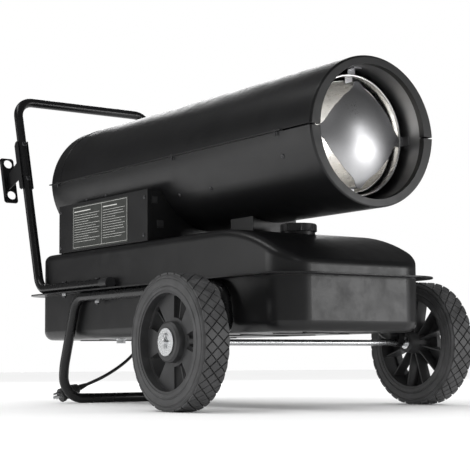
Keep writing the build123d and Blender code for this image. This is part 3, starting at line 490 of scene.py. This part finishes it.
def make_plug():
    """Moulded plug: ribbed neck, waisted grip with finger ridges, flared face and three pins."""
    tail, before = Vector(LEAD_ROUTE[-1]), Vector(LEAD_ROUTE[-2])
    place = pointing(tail, tail - before, across=(1, 0, 0))
    body = Shape()
    neck = [(0, 3.8)]
    for k in range(6):
        neck += [(1.5 + 3 * k, 4.6 + 0.45 * k), (3.2 + 3 * k, 4.6 + 0.45 * k), (3.4 + 3 * k, 4.0 + 0.4 * k)]
    grip = [(21, 6.4), (24, 10.5), (28, 12.2), (33, 13.0)]
    for k in range(4):
        grip += [(36 + 5 * k, 13.2), (37.2 + 5 * k, 14.3), (39.6 + 5 * k, 14.3)]
    face = [(58, 13.6), (62, 14.2), (63.5, 15.6), (70.5, 15.9), (72, 15.0), (72, 0.1)]
    body.turned([(z * MM, r * MM) for z, r in neck + grip + face], place, steps=40)
    plug = build("mains_plug", body.points, body.faces, "lead_rubber", "heater", ["power_plug"])
    pins = Shape()
    for side in (-1, 1):
        x = side * 6.35
        flat = [(x - 0.75, -3.15), (x + 0.75, -3.15), (x + 0.75, 3.15), (x - 0.75, 3.15)]
        pins.prism([(a * MM, b * MM) for a, b in flat], 70 * MM, 87.5 * MM, place, 0.5 * MM)
    round_pin = soften([(70, 2.4), (88.5, 2.4), (88.5, 0.1)], 2.0)
    ground = place @ Matrix.Translation((0, 8.5 * MM, 0))
    pins.turned([(z * MM, r * MM) for z, r in round_pin], ground, steps=20)
    blades = build("plug_pins", pins.points, pins.faces, "zinc", "heater")
    return plug, blades


def make_strain_relief():
    low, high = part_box("strain_relief")
    place = pointing((high.x, (low.y + high.y) / 2, (low.z + high.z) / 2), (-1, 0, 0))
    reach = (high.x - low.x) / MM
    profile = [(0, 3.9), (0, 6.8), (4, 6.8), (4, 9.5), (7, 9.5), (8, 7.4)]
    for k in range(5):
        start, radius = 9.5 + 4.6 * k, 7.2 - 0.45 * k
        profile += [(start, radius), (start + 2.6, radius - 0.2),
                    (start + 2.8, radius - 1.3), (start + 4.2, radius - 1.4)]
    profile += [(reach - 0.4, 5.1), (reach - 0.05, 3.9)]
    shape = Shape()
    shape.turned([(z * MM, r * MM) for z, r in profile], place, steps=40)
    build("strain_relief_ribbed", shape.points, shape.faces, "black_plastic", "heater", ["strain_relief"])


# ------------------------------------------------------------------ fasteners
def loose_parts(node):
    """The separate solids of a node, as arrays of their points."""
    mesh = nodes[node].data
    keys, where = {}, []
    for vertex in mesh.vertices:
        key = tuple(round(c, 6) for c in vertex.co)
        where.append(keys.setdefault(key, len(keys)))
    parent = list(range(len(keys)))

    def root(i):
        while parent[i] != i:
            parent[i] = parent[parent[i]]
            i = parent[i]
        return i

    for polygon in mesh.polygons:
        first = root(where[polygon.vertices[0]])
        for vertex in polygon.vertices[1:]:
            parent[root(where[vertex])] = first
    found = {}
    for key, index in keys.items():
        found.setdefault(root(index), []).append(key)
    return [np.array(points) for points in found.values()]


def fasteners(node):
    """Each screw's head: its top, the way it faces, its radius and the whole length."""
    found = []
    for points in loose_parts(node):
        centre = (points.max(axis=0) + points.min(axis=0)) / 2
        axis = np.linalg.svd(points - points.mean(axis=0))[2][0]
        along = (points - centre) @ axis
        away = np.linalg.norm(points - centre - np.outer(along, axis), axis=1)
        top, low = along > along.max() - 0.0003, along < along.min() + 0.0003
        if away[low].max() > away[top].max():
            axis, along, top, low = -axis, -along, low, top
        head, foot = points[top].mean(axis=0), points[low].mean(axis=0)
        facing = Vector(head - foot).normalized()
        found.append((Vector(head), facing, away[top].max(), along.max() - along.min()))
    return found


def cross_screw(shape, top, facing, radius, length, head=2.1 * MM):
    """Pan head with a cross recess, and a plain shank."""
    place = pointing(top, facing, across=(0.3, 0.2, 0.9))
    steps, rings = 32, []
    for share, drop in ((1.0, 1.0), (1.0, 0.55), (0.93, 0.30), (0.8, 0.14), (0.62, 0.05), (0.5, 0.02),
                        (0.38, 0.0), (0.28, 0.0), (0.18, 0.0), (0.08, 0.0)):
        ring = []
        for k in range(steps):
            x, y = share * cos(2 * pi * k / steps), share * sin(2 * pi * k / steps)
            slot = min(abs(x), abs(y)) < 0.13 and max(abs(x), abs(y)) < 0.55
            ring.append(place @ Vector((x * radius, y * radius, -(drop + 0.5 * slot) * head)))
        rings.append(ring)
    shape.loft(rings)
    shape.turned([(-length, 1.6 * MM), (-head * 0.95, 1.75 * MM)], place, steps=16)


def hex_bolt(shape, top, facing, radius, length, head=3.2 * MM):
    """Flanged hexagon head with a chamfered top, on its shank."""
    place = pointing(top, facing, across=(1, 0, 0.1))
    hexagon = [(0.92 * radius * cos(pi / 3 * k), 0.92 * radius * sin(pi / 3 * k)) for k in range(6)]
    shape.prism(hexagon, -head * 0.7, 0.0, place, 0.5 * MM)
    flange = [(-head, radius), (-head * 0.78, radius), (-head * 0.6, radius * 0.9), (-head * 0.6, 0.1 * MM)]
    shape.turned(flange, place, steps=32)
    shank = [(-length, 2.4 * MM), (-length + 0.6 * MM, 2.9 * MM), (-head * 0.9, 2.9 * MM)]
    shape.turned(shank, place, steps=20)


def make_fasteners():
    screws = Shape()
    for top, facing, radius, length in fasteners("sheet_screws"):
        cross_screw(screws, top, facing, radius, length)
    build("cross_head_screws", screws.points, screws.faces, "dark_screw", "heater", ["sheet_screws"])
    bolts = Shape()
    for top, facing, radius, length in fasteners("frame_bolts"):
        hex_bolt(bolts, top, facing, radius, length)
        if facing.z < 0.9:
            place = pointing(top - facing * length, facing)
            nut = [(5.4 * MM * cos(pi / 3 * k), 5.4 * MM * sin(pi / 3 * k)) for k in range(6)]
            bolts.prism(nut, 2.0 * MM, 6.0 * MM, place, 0.4 * MM)
    build("hex_head_bolts", bolts.points, bolts.faces, "dark_screw", "heater", ["frame_bolts"])


# ------------------------------------------------------------------ tyres
LUGS = 34
LUG_RISE = 3.2 * MM


def make_tyre(side):
    """Solid tyre with grooved sidewalls and rows of diamond lugs."""
    hand = 1 if side == "left" else -1
    low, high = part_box(f"{side}_tyre")
    centre, radius, half = (low + high) / 2, (high.z - low.z) / 2, (high.y - low.y) / 2
    place = pointing(centre, (0, hand, 0), across=(1, 0, 0))
    base = radius - LUG_RISE
    bore = 95.0 * MM
    wall = [(0, bore), (0, 101), (-1.2, 102.2), (-1.2, 103.8), (0, 105), (0, 115.6), (-1.4, 116.6),
            (-1.4, 118.2), (-0.2, 119.2), (-1.0, 121.6), (-3.0, 123.6)]
    outer = [(half + a * MM, r * MM if r > 1 else r) for a, r in wall]
    inner = [(-a, r) for a, r in reversed(outer)]
    shape = Shape()
    rounding = 0.8 * MM
    carcass = soften(outer + [(half - 5.5 * MM, base)], rounding)
    carcass += soften([(5.5 * MM - half, base)] + inner, rounding)
    shape.turned(carcass, place, steps=136, closed=True)
    tread = half - 4.5 * MM
    pitch, row = 2 * pi / LUGS, tread / 2
    gap_round, gap_across = 1.5 * MM / radius, 1.5 * MM
    for k in range(LUGS):
        for line in range(-2, 3):
            turn = pitch * (k + 0.5 * (line % 2))
            reach = row - gap_across
            ends = [(-pitch / 2 + gap_round, 0), (0, reach), (pitch / 2 - gap_round, 0), (0, -reach)]
            if abs(line) == 2:
                ends[1 if line > 0 else 3] = (0, 0.8 * MM if line > 0 else -0.8 * MM)
            rings = []
            for lift, grow in ((-0.6 * MM, 1.10), (LUG_RISE - 0.5 * MM, 1.0), (LUG_RISE, 0.93)):
                ring = []
                for a, b in ends:
                    angle, across, r = turn + a * grow, line * row + b * grow, base + lift
                    ring.append(place @ Vector((r * cos(angle), r * sin(angle), across)))
                rings.append(ring)
            shape.loft(rings)
    build(f"{side}_tyre_treaded", shape.points, shape.faces, "tyre_rubber", f"{side}_wheel", [f"{side}_tyre"])


# ------------------------------------------------------------------ cap, knob and plate
def fluted(shape, place, profile, count, depth, width, steps=160):
    """Rings whose radius stands out at evenly spaced ribs; profile is (height, radius, share of depth)."""
    rings = []
    for height, radius, share in profile:
        ring = []
        for k in range(steps):
            t = 2 * pi * k / steps
            off = (t * count / (2 * pi) + 0.5) % 1.0 - 0.5
            rib = max(0.0, 1.0 - (off / width) ** 2)
            r = radius - depth * share * (1.0 - rib)
            ring.append(place @ Vector((r * cos(t), r * sin(t), height)))
        rings.append(ring)
    shape.loft(rings)


def make_cap():
    low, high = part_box("fuel_cap")
    radius, tall = (high.x - low.x) / 2, high.z - low.z
    place = Matrix.Translation(((low.x + high.x) / 2, 0, low.z)) @ Matrix.Rotation(radians(14), 4, "Z")
    shape = Shape()
    profile = [(0, radius - 1.2 * MM, 0), (0.8 * MM, radius, 1), (tall - 4.2 * MM, radius, 1),
               (tall - 3.2 * MM, radius - 0.5 * MM, 0.8), (tall - 1.9 * MM, radius - 1.6 * MM, 0.3),
               (tall - 1.4 * MM, radius - 3.4 * MM, 0), (tall - 1.4 * MM, radius * 0.62, 0),
               (tall - 2.6 * MM, radius * 0.58, 0), (tall - 2.6 * MM, 1 * MM, 0)]
    fluted(shape, place, profile, 8, 1.7 * MM, 0.10)
    reach, thick = 0.55 * radius, 4 * MM
    bar = [(-reach, -thick), (reach, -thick), (reach, thick), (-reach, thick)]
    shape.prism(bar, tall - 3 * MM, tall, place, 1.2 * MM)
    build("fuel_cap_fluted", shape.points, shape.faces, "black_plastic", "filler_cap", ["fuel_cap"])


def make_knob():
    low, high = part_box("thermostat_knob")
    centre = (low + high) / 2
    radius, front = (high.x - low.x) / 2, high.y
    place = pointing((centre.x, front, centre.z), (0, 1, 0), across=(1, 0, 0))
    shape = Shape()
    profile = [(-17.6 * MM, radius - 0.6 * MM, 0), (-17 * MM, radius, 0), (-13 * MM, radius - 0.4 * MM, 0),
               (-12 * MM, radius - 2.6 * MM, 0), (-11.6 * MM, 14.4 * MM, 1), (-3.4 * MM, 13.9 * MM, 1),
               (-2.2 * MM, 12.9 * MM, 0.5), (-2.0 * MM, 11.6 * MM, 0), (-2.0 * MM, 1 * MM, 0)]
    fluted(shape, place, profile, 18, 0.8 * MM, 0.28)
    grip = [(-2.5 * MM, -13.5 * MM), (2.5 * MM, -13.5 * MM), (2.5 * MM, 13.5 * MM), (-2.5 * MM, 13.5 * MM)]
    shape.prism(grip, -4 * MM, 0, place, 0.8 * MM)
    spindle = [(low.y - front, 3.0 * MM), (-17 * MM, 3.0 * MM)]
    shape.turned(spindle, place, steps=24)
    build("thermostat_knob_ribbed", shape.points, shape.faces, "black_plastic", "knob", ["thermostat_knob"])
    mark = Shape()
    stroke = [(-0.6 * MM, 4 * MM), (0.6 * MM, 4 * MM), (0.6 * MM, 12.6 * MM), (-0.6 * MM, 12.6 * MM)]
    mark.prism(stroke, -0.3 * MM, 0.08 * MM, place)
    pointer = build("knob_pointer", mark.points, mark.faces, "gauge_face", "knob")
    pointer.data.materials[0] = pale_ink


def make_plate_print():
    """Plain rules in two columns with a frame and a divider, in place of printed text."""
    low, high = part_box("info_plate")
    wide, tall = high.x - low.x, high.z - low.z
    place = pointing((low.x, low.y, low.z), (0, -1, 0), across=(1, 0, 0))
    turned_up = place @ Vector((0, 1, 0)) - place @ Vector((0, 0, 0))
    flip = 1 if turned_up.z > 0 else -1
    shape = Shape()

    def rule(x0, x1, z, thick=0.7 * MM):
        outline = [(x0, flip * z), (x1, flip * z), (x1, flip * (z + thick)), (x0, flip * (z + thick))]
        shape.prism(outline, -0.1 * MM, 0.06 * MM, place)

    edge = 3.5 * MM
    rule(edge, wide - edge, edge)
    rule(edge, wide - edge, tall - edge)
    split = 0.54 * wide
    line = 0.7 * MM
    for x in (edge, split, wide - edge - line):
        low_z, high_z = flip * edge, flip * (tall - edge)
        outline = [(x, low_z), (x + line, low_z), (x + line, high_z), (x, high_z)]
        shape.prism(outline, -0.1 * MM, 0.06 * MM, place)
    for start, end in ((edge + 5 * MM, split - 5 * MM), (split + 6 * MM, wide - edge - 5 * MM)):
        span = end - start
        rule(start, start + 0.62 * span, tall - 14 * MM, 2.2 * MM)
        for k in range(12):
            share = (0.96, 0.88, 0.93, 0.55, 0.97, 0.82)[k % 6]
            rule(start, start + share * span, tall - (21 + 5.6 * k) * MM)
    ink = build("plate_rules", shape.points, shape.faces, "plate_film", "heater")
    ink.data.materials[0] = pale_ink


# ------------------------------------------------------------------ barrel's back edge
def make_shell_bead():
    """Rolled bead round the upper shell near its back edge."""
    low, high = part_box("upper_shell")
    centre_z = high.z - SHELL_RADIUS
    x = low.x + 42 * MM
    steps, sides = 72, 10
    rings = []
    for k in range(steps + 1):
        t = radians(4) + (pi - radians(8)) * k / steps
        ring = []
        for j in range(sides):
            a = 2 * pi * j / sides
            r = SHELL_RADIUS + 1.1 * MM * cos(a)
            ring.append(Vector((x + 1.6 * MM * sin(a), r * cos(t), centre_z + r * sin(t))))
        rings.append(ring)
    shape = Shape()
    shape.loft(rings)
    build("shell_bead", shape.points, shape.faces, "black_coat", "heater")


lead = make_lead()
plug, plug_pins = make_plug()
make_strain_relief()
make_fasteners()
for side in ("left", "right"):
    make_tyre(side)
make_cap()
make_knob()
make_plate_print()
make_shell_bead()
make_camera()
make_studio()
